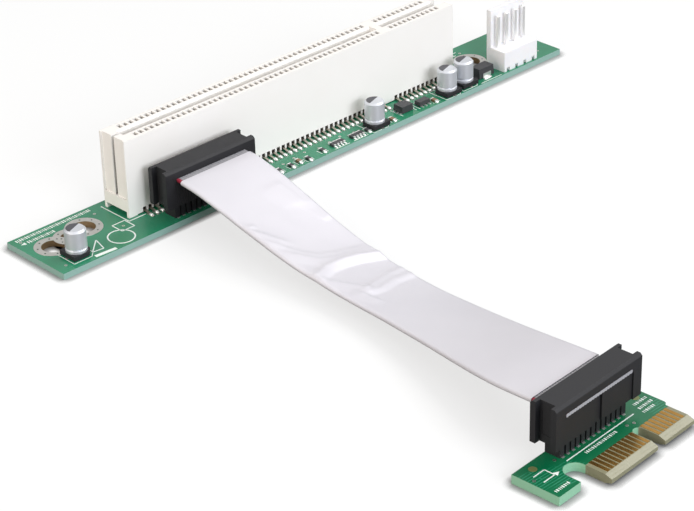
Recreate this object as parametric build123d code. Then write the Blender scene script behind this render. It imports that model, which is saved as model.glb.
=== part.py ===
"""Riser adapter: a long board with a parallel expansion slot, joined by a foil-wrapped
ribbon cable to a small board with a serial card edge. Millimetres, +Z up, both boards flat
on the desk, origin under the middle of the whole footprint."""
import math
import os

from build123d import *

# Long board, lying along X with its front edge toward -Y
board_length = 130.0
board_width = 16.5
board_thickness = 1.2
mount_hole_diameter = 4.4
middle_hole_diameter = 3.0
mount_holes = [(4.9, 9.3), (13.1, 11.0), (112.7, 9.5)]
middle_hole = (9.0, 10.15)

# Small card-edge board, in its own frame: u along the edge, w back from the insertion edge
edge_thickness = 1.6
edge_width = 11.85
long_tongue = 11.65
short_tongue = 7.65
key_notch = 1.9
key_depth = 5.3
hook_notch = 3.95
hook_depth = 7.25
tab_length = 5.2
tab_front = 2.8
shoulder = 0.7
shoulder_depth = 5.6
bevel_length = 1.3
bevel_drop = 0.45
finger_pitch = 1.0
finger_width = 0.7
finger_start = 1.4
finger_end = 5.0
finger_thickness = 0.04
key_to_finger = 1.5
long_tongue_fingers = 11
short_tongue_fingers = 7

# Where the small board lies from the long board's front-left corner
edge_x = 18.6
reach = 108.9
edge_turn = 3.6

# Expansion slot
slot_pitch = 1.27
slot_positions = 62
key_positions = (50, 51)
slot_length = 84.84
slot_width = 7.0
slot_height = 15.5
slot_x = 63.3
slot_y = 11.0
standoff = 1.1
rail_end = 2.0
rail_lift = 0.15
card_slot_width = 1.8
card_slot_depth = 8.6
card_slot_end_wall = 1.9
card_mouth = 0.5
key_wall = 1.5
row_offset = 2.2
chamber_length = 1.3
chamber_width = 0.8
end_groove = 0.7
end_ledge_top = 3.55
end_recess = 0.25
end_recess_width = 6.2
far_notch_depth = 2.2
far_notch_width = 3.0
contact_thickness = 0.2
contact_width = 0.5
front_foot = 2.4
rear_foot = 1.7
contact_toe = 0.8
contact_level = 0.6
contact_top = 12.8

# Ribbon-cable connectors, both the same
pin_pitch = 1.27
pin_columns = 13
pin_size = 0.4
header_width = 2.9
header_height = 2.7
header_groove_width = 0.42
header_groove_depth = 0.35
header_groove_height = 2.1
socket_length = 21.4
socket_width = 5.0
socket_height = 5.05
cover_height = 1.7
ear_width = 1.05
ear_depth = 1.1
key_groove_width = 1.87
key_groove_depth = 0.6
panel_width = 17.2
panel_depth = 0.25
cover_bevel = 0.4
channel_width = 0.7
latch_thickness = 0.6
latch_width = 1.9
latch_clearance = 0.05
latch_reach = 3.6
barb_size = 0.25
barb_height = 0.5
pin_engagement = 3.2

# Ribbon cable and its foil wrap
conductor_pitch = 0.635
ribbon_thickness = 0.65
ribbon_sag = 7.2
ribbon_bow = 3.4
ribbon_lean = -1.6
ribbon_twist = 9.5
ribbon_stations = 12
foil_start = 0.015
foil_end = 0.985
foil_side_gap = 0.25
foil_face_gap = 0.15
foil_wall = 0.2

# Positions of the connectors on their boards
connector_a = (35.0, 2.9)
connector_b = (7.12, 10.4)

# Power header
power_pitch = 2.5
power_pins = 4
power_x = 113.6
power_front = 0.5
power_end = 1.15
power_depth = 5.0
power_base = 4.3
power_wall = 1.1
power_wall_height = 12.4
power_pin_size = 0.64
power_pin_height = 11.3
power_pin_setback = 3.0
power_notch = 0.8
power_window_width = 0.8
power_window_height = 4.4
power_window_lift = 1.7

# Surface-mount capacitors: can on a moulded base
can_diameter = 4.0
can_height = 5.4
can_radius_top = 0.35
base_size = 4.3
base_height = 1.0
base_chamfer = 1.0
groove_height = 0.65
groove_depth = 0.2
terminal_width = 0.7
terminal_thickness = 0.15
terminal_reach = 0.3
capacitors = {1: (6.0, 3.9, 0), 2: (78.5, 2.5, 90), 3: (98.8, 2.5, 90), 4: (104.0, 2.9, 90)}

# Small parts along the front strip
chip_size = (0.8, 1.6, 0.45)
chip_cap = 0.3
resistor_chips = [(52.3, 1.4), (55.2, 1.3), (59.5, 1.1), (63.7, 1.7), (75.7, 1.7)]
capacitor_chips = [(57.5, 1.7), (82.4, 1.6), (94.2, 1.6)]
array_positions = [(67.8, 1.9), (72.8, 1.7)]
array_size = (3.2, 1.6, 0.5)
array_pads = 4
array_pad_width = 0.45
regulator_at = (87.0, 3.1)
regulator_size = (3.0, 2.6, 1.45)
amplifier_at = (91.6, 2.4)
amplifier_size = (1.6, 2.9, 1.0)
diode_at = (109.6, 3.0)
diode_size = (4.3, 2.6, 2.2)
lead_thickness = 0.15
lead_width = 0.4
lead_reach = 0.55

# Derived places
front_y = (reach - board_width) / 2
LONG = Pos(-board_length / 2, front_y, 0)
LONG_TOP = LONG * Pos(0, 0, board_thickness)
EDGE = LONG * Pos(edge_x, -reach, finger_thickness) * Rot(0, 0, edge_turn)
AT_A = LONG_TOP * Pos(*connector_a, 0)
AT_B = EDGE * Pos(*connector_b, edge_thickness) * Rot(0, 0, 180)
ribbon_width = 2 * pin_columns * conductor_pitch
ribbon_level = header_height + socket_height + ribbon_thickness / 2
parts = {}


def block(x0, x1, y0, y1, z0, z1):
    """Box between two corners."""
    box = Box(x1 - x0, y1 - y0, z1 - z0)
    return Pos((x0 + x1) / 2, (y0 + y1) / 2, (z0 + z1) / 2) * box


def prism_along_x(points, length):
    """Outline in Y and Z, extruded by length along +X and centred on X = 0."""
    outline = make_face(Polyline(*points, close=True).edges())
    return Pos(-length / 2, 0, 0) * extrude(Plane.YZ * outline, amount=length)


def plate(points, thickness):
    """Outline in X and Y, extruded upward."""
    return extrude(make_face(Polyline(*points, close=True).edges()), amount=thickness)


def keep(name, shape, place):
    """File one sub-part under its node name."""
    parts[name] = place * (Compound(children=shape) if isinstance(shape, list) else shape)


def slot_stations():
    """X of every contact position of the slot, without the key."""
    numbers = [n for n in range(1, slot_positions + 1) if n not in key_positions]
    return [slot_pitch * (n - 1) - slot_pitch * (slot_positions - 1) / 2 for n in numbers]


def pin_places():
    """X and Y of the connector pins about the connector's centre."""
    first = -pin_pitch * (pin_columns - 1) / 2
    columns = [first + pin_pitch * n for n in range(pin_columns)]
    return [(x, side * pin_pitch / 2) for side in (-1, 1) for x in columns]


def pin_holes(thickness):
    """Square posts that fill the plated holes under a pin header."""
    return [Pos(x, y, -thickness / 2) * Box(pin_size, pin_size, thickness) for x, y in pin_places()]


def make_long_board():
    board = block(0, board_length, 0, board_width, 0, board_thickness)
    drills = [Pos(x, y, board_thickness / 2) * Cylinder(mount_hole_diameter / 2, board_thickness)
              for x, y in mount_holes]
    drills.append(Pos(*middle_hole, board_thickness / 2) * Cylinder(middle_hole_diameter / 2, board_thickness))
    at_header = Pos(*connector_a, board_thickness)
    drills += [at_header * post for post in pin_holes(board_thickness)]
    keep("pci_board", board - drills, LONG)


def make_edge_board():
    """Card-edge outline: two tongues, a round key notch, the hook notch and the tab."""
    right = long_tongue + key_notch + short_tongue
    notch_radius = key_notch / 2
    hook_radius = hook_notch / 2
    left = -hook_notch - tab_length
    outline = [
        Line((0, 0), (long_tongue, 0)),
        Line((long_tongue, 0), (long_tongue, key_depth - notch_radius)),
        ThreePointArc((long_tongue, key_depth - notch_radius), (long_tongue + notch_radius, key_depth),
                      (long_tongue + key_notch, key_depth - notch_radius)),
        Line((long_tongue + key_notch, key_depth - notch_radius), (long_tongue + key_notch, 0)),
        Line((long_tongue + key_notch, 0), (right, 0)),
        Line((right, 0), (right, shoulder_depth)),
        ThreePointArc((right, shoulder_depth),
                      (right + shoulder * math.sin(math.pi / 4), shoulder_depth + shoulder * (1 - math.cos(math.pi / 4))),
                      (right + shoulder, shoulder_depth + shoulder)),
        Line((right + shoulder, shoulder_depth + shoulder), (right + shoulder, edge_width)),
        Line((right + shoulder, edge_width), (left, edge_width)),
        Line((left, edge_width), (left, tab_front)),
        Line((left, tab_front), (-hook_notch, tab_front)),
        Line((-hook_notch, tab_front), (-hook_notch, hook_depth - hook_radius)),
        ThreePointArc((-hook_notch, hook_depth - hook_radius), (-hook_radius, hook_depth),
                      (0, hook_depth - hook_radius)),
        Line((0, hook_depth - hook_radius), (0, 0)),
    ]
    board = extrude(make_face([edge.edge() for edge in outline]), amount=edge_thickness)
    top_bevel = [(0, edge_thickness), (bevel_length, edge_thickness), (0, edge_thickness - bevel_drop)]
    low_bevel = [(0, 0), (bevel_length, 0), (0, bevel_drop)]
    span = 2 * (right + hook_notch)
    bevels = [prism_along_x(points, span) for points in (top_bevel, low_bevel)]
    posts = [Pos(*connector_b, edge_thickness) * post for post in pin_holes(edge_thickness)]
    keep("edge_board", board - bevels - posts, EDGE)

    key_middle = long_tongue + key_notch / 2
    fingers = [key_middle - key_to_finger - finger_pitch * n for n in range(long_tongue_fingers)]
    fingers += [key_middle + key_to_finger + finger_pitch * n for n in range(short_tongue_fingers)]
    for name, low in (("edge_fingers_top", edge_thickness), ("edge_fingers_bottom", -finger_thickness)):
        bars = [block(u - finger_width / 2, u + finger_width / 2, finger_start, finger_end, low,
                      low + finger_thickness) for u in fingers]
        keep(name, bars, EDGE)


def make_slot():
    """Moulded slot body on two castellated rails, with a chamber for every contact."""
    half = slot_length / 2
    side = slot_width / 2
    chamber_inner = row_offset - chamber_length / 2
    chamber_outer = row_offset + chamber_length / 2
    body = block(-half, half, -side, side, standoff, slot_height)
    for near, far in ((-side, -chamber_outer), (chamber_outer, side)):
        body += block(-half, half, near, far, rail_lift, standoff)
        body += block(-half, rail_end - half, near, far, 0, rail_lift)
        body += block(half - rail_end, half, near, far, 0, rail_lift)
    chamber = block(-chamber_width / 2, chamber_width / 2, chamber_inner, chamber_outer, standoff, slot_height)
    chamber += block(-chamber_width / 2, chamber_width / 2, chamber_outer, side, 0, standoff)
    cuts = [Pos(x, 0, 0) * Rot(0, 0, turn) * chamber for x in slot_stations() for turn in (0, 180)]
    key_x = slot_pitch * (sum(key_positions) / 2 - (slot_positions + 1) / 2)
    inner = half - card_slot_end_wall
    floor = slot_height - card_slot_depth
    half_slot = card_slot_width / 2
    section = [(-half_slot, floor), (half_slot, floor), (half_slot, slot_height - card_mouth),
               (half_slot + card_mouth / 2, slot_height), (-half_slot - card_mouth / 2, slot_height),
               (-half_slot, slot_height - card_mouth)]
    for a, b in ((-inner, key_x - key_wall / 2), (key_x + key_wall / 2, inner)):
        cuts.append(Pos((a + b) / 2, 0, 0) * prism_along_x(section, b - a))
    for end in (-1, 1):
        a, b = sorted((end * half, end * inner))
        cuts.append(block(a, b, -end_groove / 2, end_groove / 2, end_ledge_top, slot_height))
        a, b = sorted((end * half, end * (half - end_recess)))
        cuts.append(block(a, b, -end_recess_width / 2, end_recess_width / 2, end_ledge_top, slot_height))
    cuts.append(block(inner, half, -far_notch_width / 2, far_notch_width / 2,
                      slot_height - far_notch_depth, slot_height))
    place = LONG_TOP * Pos(slot_x, slot_y, 0)
    keep("slot_housing", body - cuts, place)

    inner_y = row_offset - contact_thickness / 2
    outer_y = row_offset + contact_thickness / 2
    bend = contact_level + contact_thickness
    for name, foot, turn in (("slot_contacts_front", front_foot, 180), ("slot_contacts_rear", rear_foot, 0)):
        toe = side + foot
        section = [(toe, 0), (toe - contact_toe, 0), (inner_y, contact_level), (inner_y, contact_top),
                   (outer_y, contact_top), (outer_y, bend), (toe - contact_toe, contact_thickness),
                   (toe, contact_thickness)]
        spring = Rot(0, 0, turn) * prism_along_x(section, contact_width)
        keep(name, [Pos(x, 0, 0) * spring for x in slot_stations()], place)


def end_profile():
    """Plan of the socket: ears at the four corners round a recess in each end."""
    x = socket_length / 2
    y = socket_width / 2
    floor = x - ear_depth
    recess = y - ear_width
    return [(-x, -y), (x, -y), (x, -recess), (floor, -recess), (floor, recess), (x, recess), (x, y),
            (-x, y), (-x, recess), (-floor, recess), (-floor, -recess), (-x, -recess)]


def make_connector(letter, place, thickness):
    """Pin header, socket body and the cover that clamps the ribbon."""
    row = pin_pitch / 2
    half_base = pin_pitch * pin_columns / 2
    base = block(-half_base, half_base, -header_width / 2, header_width / 2, 0, header_height)
    cuts = [Pos(x, y, header_height / 2) * Box(pin_size, pin_size, header_height) for x, y in pin_places()]
    for n in range(pin_columns - 1):
        x = pin_pitch * (n + 1) - half_base
        for sign in (-1, 1):
            a, b = sorted((sign * header_width / 2, sign * (header_width / 2 - header_groove_depth)))
            cuts.append(block(x - header_groove_width / 2, x + header_groove_width / 2, a, b, 0,
                              header_groove_height))
    keep(f"header_{letter}_base", base - cuts, place)
    pin_length = thickness + header_height + pin_engagement
    pin_middle = (header_height + pin_engagement - thickness) / 2
    pins = [Pos(x, y, pin_middle) * Box(pin_size, pin_size, pin_length) for x, y in pin_places()]
    keep(f"header_{letter}_pins", pins, place)

    low = header_height
    top = low + socket_height
    seat = top + ribbon_thickness
    body = Pos(0, 0, low) * plate(end_profile(), socket_height)
    beside = Pos(0, 0, top) * plate(end_profile(), ribbon_thickness)
    body += beside - block(-ribbon_width / 2, ribbon_width / 2, -socket_width / 2, socket_width / 2, top, seat)
    channel_half = half_base - latch_clearance
    cuts = [block(-channel_half, channel_half, sign * row - channel_width / 2, sign * row + channel_width / 2,
                  low, top) for sign in (-1, 1)]
    cuts.append(block(-key_groove_width / 2, key_groove_width / 2, socket_width / 2 - key_groove_depth,
                      socket_width / 2, low, top))
    for sign in (-1, 1):
        a, b = sorted((sign * socket_width / 2, sign * (socket_width / 2 - panel_depth)))
        cuts.append(block(-panel_width / 2, panel_width / 2, a, b, low, top))
    leg_face = socket_length / 2 - ear_depth
    leg_back = leg_face - latch_thickness - latch_clearance
    leg_half = latch_width / 2 + latch_clearance
    leg_low = seat - latch_reach - ribbon_thickness
    for end in (-1, 1):
        a, b = sorted((end * leg_face, end * leg_back))
        cuts.append(block(a, b, -leg_half, leg_half, leg_low - latch_clearance, seat))
        a, b = sorted((end * leg_back, end * (leg_back - barb_size)))
        cuts.append(block(a, b, -leg_half, leg_half, leg_low - latch_clearance, leg_low + barb_height))
    keep(f"socket_{letter}_body", body - cuts, place)

    cover = Pos(0, 0, seat) * plate(end_profile(), cover_height)
    edge = socket_width / 2
    lid = seat + cover_height
    for sign in (-1, 1):
        corner = [(sign * edge, lid), (sign * (edge - cover_bevel), lid), (sign * edge, lid - cover_bevel)]
        cover -= prism_along_x(corner, socket_length)
    for end in (-1, 1):
        a, b = sorted((end * leg_face, end * (leg_face - latch_thickness)))
        cover += block(a, b, -latch_width / 2, latch_width / 2, leg_low, seat)
        a, b = sorted((end * (leg_face - latch_thickness), end * (leg_face - latch_thickness - barb_size)))
        cover += block(a, b, -latch_width / 2, latch_width / 2, leg_low, leg_low + barb_height)
    keep(f"socket_{letter}_cover", cover, place)


def ribbon_frame(t):
    """Centre, heading and roll of the ribbon at share t of its free span."""
    start = (AT_A * Pos(0, -socket_width / 2, ribbon_level)).position
    finish = (AT_B * Pos(0, -socket_width / 2, ribbon_level)).position
    blend = t * t * (3 - 2 * t)
    swing = math.sin(math.pi * t)
    bow = ribbon_bow * swing * swing + ribbon_lean * swing * math.sin(2 * math.pi * t)
    x = start.X + (finish.X - start.X) * blend + bow
    y = start.Y + (finish.Y - start.Y) * t
    z = start.Z + (finish.Z - start.Z) * t - ribbon_sag * swing ** 1.5
    return Vector(x, y, z), edge_turn * t, ribbon_twist * swing * swing


def ribbon_section(t, width, height, push=0.0):
    """Upright rectangle across the ribbon at share t, pushed back along the cable by push."""
    centre, heading, roll = ribbon_frame(t)
    place = Pos(*centre) * Rot(0, 0, heading) * Pos(0, push, 0) * Rot(0, roll, 0)
    corners = [(-width / 2, -height / 2), (width / 2, -height / 2), (width / 2, height / 2), (-width / 2, height / 2)]
    outline = Polyline(*[(a, 0, b) for a, b in corners], close=True)
    return place * make_face(outline.edges())


def make_ribbon():
    """Flat cable from socket to socket, clamped in both, and the foil tube round its free span."""
    shares = sorted([n / ribbon_stations for n in range(ribbon_stations + 1)] + [foil_start, foil_end])
    inside_a = ribbon_section(0, ribbon_width, ribbon_thickness, socket_width)
    inside_b = ribbon_section(1, ribbon_width, ribbon_thickness, -socket_width)
    free = [ribbon_section(t, ribbon_width, ribbon_thickness) for t in shares]
    strip = loft([inside_a] + free + [inside_b], ruled=True)
    keep("ribbon_cable", strip, Pos(0, 0, 0))

    wrapped = [t for t in shares if foil_start <= t <= foil_end]
    inner_size = (ribbon_width + 2 * foil_side_gap, ribbon_thickness + 2 * foil_face_gap)
    outer_size = tuple(size + 2 * foil_wall for size in inner_size)
    tubes = [loft([ribbon_section(t, *size) for t in wrapped], ruled=True) for size in (outer_size, inner_size)]
    keep("foil_wrap", tubes[0] - tubes[1], Pos(0, 0, 0))


def make_power_header():
    """Low box with a tall back wall, four square pins and four notches over the solder joints."""
    length = 2 * power_end + power_pitch * (power_pins - 1)
    base = block(0, length, 0, power_depth, 0, power_base)
    base += block(0, length, power_depth - power_wall, power_depth, power_base, power_wall_height)
    pin_xs = [power_end + power_pitch * n for n in range(power_pins)]
    half = power_pin_size / 2
    cuts = [block(x - half, x + half, power_pin_setback - half, power_pin_setback + half, 0, power_base)
            for x in pin_xs]
    cuts += [block(x - power_notch / 2, x + power_notch / 2, 0, power_notch, 0, power_notch) for x in pin_xs]
    place = LONG_TOP * Pos(power_x, power_front, 0)
    window_x = pin_xs[0] + power_pitch / 2
    window_low = power_base + power_window_lift
    cuts.append(block(window_x - power_window_width / 2, window_x + power_window_width / 2,
                      power_depth - power_wall, power_depth, window_low, window_low + power_window_height))
    keep("power_header_housing", base - cuts, place)
    pins = [block(x - half, x + half, power_pin_setback - half, power_pin_setback + half, 0, power_pin_height)
            for x in pin_xs]
    keep("power_header_pins", [chamfer(pin.faces().sort_by(Axis.Z)[-1].edges(), power_pin_size / 5) for pin in pins],
         place)


def make_capacitor(number, x, y, turn):
    """Crimped can in a moulded base, with two flat terminals."""
    radius = can_diameter / 2
    neck = radius - groove_depth
    groove = base_height + groove_height
    outline = [(0, base_height), (radius, base_height), (radius, groove - groove_depth), (neck, groove),
               (radius, groove + groove_depth), (radius, can_height - can_radius_top),
               (radius - can_radius_top, can_height), (0, can_height)]
    can = revolve(Plane.XZ * make_face(Polyline(*outline, close=True).edges()), Axis.Z)
    place = LONG_TOP * Pos(x, y, 0) * Rot(0, 0, turn)
    keep(f"capacitor_{number}_can", can, place)

    half = base_size / 2
    cut = half - base_chamfer
    plan = [(-half, -half), (cut, -half), (half, -cut), (half, cut), (cut, half), (-half, half)]
    base = Pos(0, 0, terminal_thickness) * plate(plan, base_height - terminal_thickness)
    keep(f"capacitor_{number}_base", base, place)
    tabs = []
    for sign in (-1, 1):
        a, b = sorted((sign * can_diameter / 5, sign * (half + terminal_reach)))
        tabs.append(block(a, b, -terminal_width / 2, terminal_width / 2, 0, terminal_thickness))
    keep(f"capacitor_{number}_terminals", tabs, place)


def chip_solids(positions):
    """Bodies and end caps of the two-terminal chips, lying across the strip."""
    width, length, height = chip_size
    bodies = []
    caps = []
    for x, y in positions:
        inner = length / 2 - chip_cap
        bodies.append(block(x - width / 2, x + width / 2, y - inner, y + inner, 0, height))
        for sign in (-1, 1):
            a, b = sorted((y + sign * inner, y + sign * length / 2))
            caps.append(block(x - width / 2, x + width / 2, a, b, 0, height))
    return bodies, caps


def make_chips():
    bodies, caps = chip_solids(resistor_chips)
    keep("chip_resistor_bodies", bodies, LONG_TOP)
    keep("chip_resistor_caps", caps, LONG_TOP)
    bodies, caps = chip_solids(capacitor_chips)
    keep("chip_capacitor_bodies", bodies, LONG_TOP)
    keep("chip_capacitor_caps", caps, LONG_TOP)
    length, width, height = array_size
    bodies = []
    pads = []
    for x, y in array_positions:
        inner = width / 2 - chip_cap
        bodies.append(block(x - length / 2, x + length / 2, y - inner, y + inner, 0, height))
        pitch = length / array_pads
        for n in range(array_pads):
            middle = x - length / 2 + pitch * (n + 0.5)
            for sign in (-1, 1):
                a, b = sorted((y + sign * inner, y + sign * width / 2))
                pads.append(block(middle - array_pad_width / 2, middle + array_pad_width / 2, a, b, 0, height))
    keep("resistor_array_bodies", bodies, LONG_TOP)
    keep("resistor_array_pads", pads, LONG_TOP)


def leaded_body(size):
    """Moulded body with drafted sides, above the board by the lead's thickness."""
    length, width, height = size
    draft = height / 8
    low = Pos(0, 0, lead_thickness) * Rectangle(length, width)
    high = Pos(0, 0, height) * Rectangle(length - draft, width - draft)
    return loft([low.face(), high.face()])


def side_leads(size, offsets, width):
    """Flat leads that start under the body and run out past its ends."""
    half = size[0] / 2
    leads = []
    for sign, rows in offsets:
        a, b = sorted((sign * half / 2, sign * (half + lead_reach)))
        leads += [block(a, b, row - width / 2, row + width / 2, 0, lead_thickness) for row in rows]
    return leads


def make_semiconductors():
    spread = regulator_size[1] / 3
    keep("regulator_body", leaded_body(regulator_size), LONG_TOP * Pos(*regulator_at, 0))
    rows = [(-1, (-spread, 0, spread)), (1, (-spread, spread))]
    keep("regulator_leads", side_leads(regulator_size, rows, lead_width), LONG_TOP * Pos(*regulator_at, 0))
    place = LONG_TOP * Pos(*amplifier_at, 0) * Rot(0, 0, 90)
    spread = amplifier_size[1] / 3
    rows = [(-1, (-spread, 0, spread)), (1, (-spread, spread))]
    keep("amplifier_body", leaded_body(amplifier_size), place)
    keep("amplifier_leads", side_leads(amplifier_size, rows, lead_width), place)
    place = LONG_TOP * Pos(*diode_at, 0)
    keep("diode_body", leaded_body(diode_size), place)
    keep("diode_terminals", side_leads(diode_size, [(-1, (0,)), (1, (0,))], diode_size[1] / 2), place)


make_long_board()
make_edge_board()
make_slot()
make_connector("a", AT_A, board_thickness)
make_connector("b", AT_B, edge_thickness)
make_ribbon()
make_power_header()
for number, placing in capacitors.items():
    make_capacitor(number, *placing)
make_chips()
make_semiconductors()

os.makedirs("parts", exist_ok=True)
for name, shape in parts.items():
    export_step(shape, f"parts/{name}.step")
print(len(parts), "sub-parts")
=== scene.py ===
import functools
import logging
import math
from dataclasses import asdict, dataclass, field, replace
from enum import Enum
from typing import ClassVar

import bpy
from bpy.types import Material, Node, NodeSocket, NodeTree
from mathutils import Matrix, Vector, noise


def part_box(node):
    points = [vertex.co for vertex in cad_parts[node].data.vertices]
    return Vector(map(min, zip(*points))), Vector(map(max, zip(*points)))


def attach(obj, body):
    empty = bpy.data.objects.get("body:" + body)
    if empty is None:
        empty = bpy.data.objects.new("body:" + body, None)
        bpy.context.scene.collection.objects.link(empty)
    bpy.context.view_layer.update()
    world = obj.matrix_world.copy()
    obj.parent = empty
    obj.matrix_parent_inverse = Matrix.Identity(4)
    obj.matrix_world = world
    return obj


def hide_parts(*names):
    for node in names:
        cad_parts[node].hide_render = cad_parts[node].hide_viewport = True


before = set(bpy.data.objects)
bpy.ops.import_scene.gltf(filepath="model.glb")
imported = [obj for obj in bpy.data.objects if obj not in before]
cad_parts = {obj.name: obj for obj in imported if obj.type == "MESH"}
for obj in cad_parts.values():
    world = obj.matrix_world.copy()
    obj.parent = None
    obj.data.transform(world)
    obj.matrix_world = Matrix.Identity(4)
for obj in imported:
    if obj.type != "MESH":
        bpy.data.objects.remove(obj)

Pair = tuple[float, float]
Point = tuple[float, float]
Triple = tuple[float, float, float]

LOG = logging.getLogger("riser_adapter")
# Lengths are in millimetres and angles in degrees where nothing else is said; this gives metres
MM = 0.001
IMAGE_WIDTH = 694
SENSOR_WIDTH = 36.0
WHITE = (1.0, 1.0, 1.0, 1.0)
BLACK = (0.0, 0.0, 0.0, 1.0)
BOARD_SMOOTH_ANGLE = 30
CAN_SMOOTH_ANGLE = 40
VIA_RADII = (0.12, 0.30)
VIA_RISE = 0.02
DASH_SHORTEST = 0.10
DASH_SPREAD = 0.20
DASH_WAVE = 2.3
DASH_GAP = 0.24
# Radians; spreads the unevenness of a row of joints with no visible rhythm
GOLDEN_ANGLE = 2.399
# Red light soaks deepest into a pale moulding
GLOW_RADII = (1.0, 0.8, 0.6)


class BoardSide(Enum):
    """Which face of a board a plated land lies on."""

    TOP = "top"
    UNDERSIDE = "underside"


def linear(code: str) -> tuple[float, float, float, float]:
    """Turns an sRGB colour into the renderer's linear colour.

    Args:
        code: The colour as six hexadecimal digits.

    Returns:
        Red, green, blue and alpha, linear.
    """
    shares = [int(code[place:place + 2], 16) / 255 for place in (0, 2, 4)]
    red, green, blue = [v / 12.92 if v <= 0.04045 else ((v + 0.055) / 1.055) ** 2.4 for v in shares]
    return red, green, blue, 1.0


def per_size(millimetres: float) -> float:
    """Texture scale that repeats once in the given real size."""
    return 1.0 / (millimetres * MM)


def add_node(tree: NodeTree, kind: str, settings: dict | None = None,
             inputs: dict | None = None) -> Node:
    """Adds one node with its settings and links.

    Args:
        tree: The node tree that gets the node.
        kind: The node's type name.
        settings: Properties of the node.
        inputs: Values for its sockets, or the output socket that feeds one.

    Returns:
        The new node.
    """
    node = tree.nodes.new(kind)
    for name, value in (settings or {}).items():
        setattr(node, name, value)
    for name, value in (inputs or {}).items():
        if isinstance(value, NodeSocket):
            tree.links.new(value, node.inputs[name])
        else:
            node.inputs[name].default_value = value
    return node


def cleared_tree(block: bpy.types.ID) -> NodeTree:
    """Empties the node tree of a new material or world.

    Args:
        block: The material or the world.

    Returns:
        Its node tree, with no node left in it.
    """
    block.use_nodes = True
    block.node_tree.nodes.clear()
    return block.node_tree


def new_object(name: str, data: bpy.types.ID) -> bpy.types.Object:
    """Adds an object to the scene.

    Args:
        name: The object's name.
        data: Its mesh, lamp or camera.

    Returns:
        The new object.
    """
    thing = bpy.data.objects.new(name, data)
    bpy.context.scene.collection.objects.link(thing)
    return thing


def band_faces(rings: int, around: int) -> list[tuple[int, ...]]:
    """Faces of an open tube.

    Args:
        rings: Number of rings of corners along it.
        around: Corners in each ring.

    Returns:
        The corner numbers of each face, ring by ring.
    """
    faces = []
    for ring in range(rings - 1):
        for n in range(around):
            a, b = ring * around + n, ring * around + (n + 1) % around
            faces.append((a, b, b + around, a + around))
    return faces


@dataclass(frozen=True)
class Finish:
    """What a surface is made of, and how it was made.

    The grain is a fine unevenness: its size is the spacing of the bumps in millimetres, and its depth
    their height. Where the real grain is too fine for the picture, it is drawn as coarse as it needs
    to show. The blotch is a slow change of colour and gloss. The soft edge is the radius that a mould
    leaves, glow lets light soak a little way in, and narrow cavities are darkened to a set colour as
    painted shade, between the two shares of open sky given.
    """

    name: str
    colour: str
    shade: str
    metallic: float = 0.0
    roughness: float = 0.5
    ior: float = 1.5
    grain_size: float = 0.2
    grain_depth: float = 0.004
    blotch_size: float = 2.0
    roughness_spread: float = 0.06
    soft_edge: float = 0.0
    glow: float = 0.0
    painted_shade_colour: str = ""
    painted_shade_reach: float = 1.5
    painted_shade_shares: Pair = (0.12, 0.5)

    def build(self) -> Material:
        """Makes the material.

        Returns:
            The finished material.
        """
        material = bpy.data.materials.new(self.name)
        tree = cleared_tree(material)
        place = add_node(tree, "ShaderNodeTexCoord")
        colour, height = self.pattern(tree, place)
        blotch = add_node(tree, "ShaderNodeTexNoise", {}, {
            "Vector": place.outputs["Object"], "Scale": per_size(self.blotch_size), "Detail": 4.0})
        gloss = add_node(tree, "ShaderNodeMapRange", {}, {
            "Value": blotch.outputs["Fac"], "To Min": self.roughness - self.roughness_spread,
            "To Max": self.roughness + self.roughness_spread})
        relief = {"Height": height, "Distance": self.grain_depth * MM, "Strength": 1.0}
        if self.soft_edge:
            edge = add_node(tree, "ShaderNodeBevel", {"samples": 4}, {"Radius": self.soft_edge * MM})
            relief["Normal"] = edge.outputs["Normal"]
        bump = add_node(tree, "ShaderNodeBump", {}, relief)
        # Painted shade: narrow cavities are darkened towards a set colour where they see little open sky
        if self.painted_shade_colour:
            colour = self.paint_cavity_shade(tree, colour)
        shader = add_node(tree, "ShaderNodeBsdfPrincipled", {}, {
            "Base Color": colour, "Roughness": gloss.outputs["Result"],
            "Normal": bump.outputs["Normal"], "Metallic": self.metallic, "IOR": self.ior})
        if self.glow:
            shader.inputs["Subsurface Weight"].default_value = self.glow
            shader.inputs["Subsurface Scale"].default_value = MM
            shader.inputs["Subsurface Radius"].default_value = GLOW_RADII
        add_node(tree, "ShaderNodeOutputMaterial", {}, {"Surface": shader.outputs["BSDF"]})
        return material

    def paint_cavity_shade(self, tree: NodeTree, colour: NodeSocket) -> NodeSocket:
        """Paints shade into narrow cavities: their colour falls to a darker one where little sky is open.

        Args:
            tree: The material's node tree.
            colour: The colour of the open surface.

        Returns:
            The output socket of the mixed colour.
        """
        shut, clear = self.painted_shade_shares
        sky = add_node(tree, "ShaderNodeAmbientOcclusion", {"samples": 8}, {
            "Distance": self.painted_shade_reach * MM})
        depth = add_node(tree, "ShaderNodeMapRange", {}, {
            "Value": sky.outputs["AO"], "From Min": shut, "From Max": clear})
        mix = add_node(tree, "ShaderNodeMix", {"data_type": "RGBA"}, {
            "Factor": depth.outputs["Result"], "A": linear(self.painted_shade_colour), "B": colour})
        return mix.outputs["Result"]

    def pattern(self, tree: NodeTree, place: Node) -> tuple[NodeSocket, NodeSocket]:
        """Colour and height of the surface, from its grain.

        Args:
            tree: The material's node tree.
            place: The texture coordinate node.

        Returns:
            The output socket of the colour and the one of the height.
        """
        grain = add_node(tree, "ShaderNodeTexNoise", {}, {
            "Vector": place.outputs["Object"], "Scale": per_size(self.grain_size), "Detail": 3.0})
        wide = add_node(tree, "ShaderNodeTexNoise", {}, {
            "Vector": place.outputs["Object"], "Scale": per_size(self.blotch_size), "Detail": 2.0})
        mix = add_node(tree, "ShaderNodeMix", {"data_type": "RGBA"}, {
            "Factor": wide.outputs["Fac"], "A": linear(self.colour), "B": linear(self.shade)})
        return mix.outputs["Result"], grain.outputs["Fac"]


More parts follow.
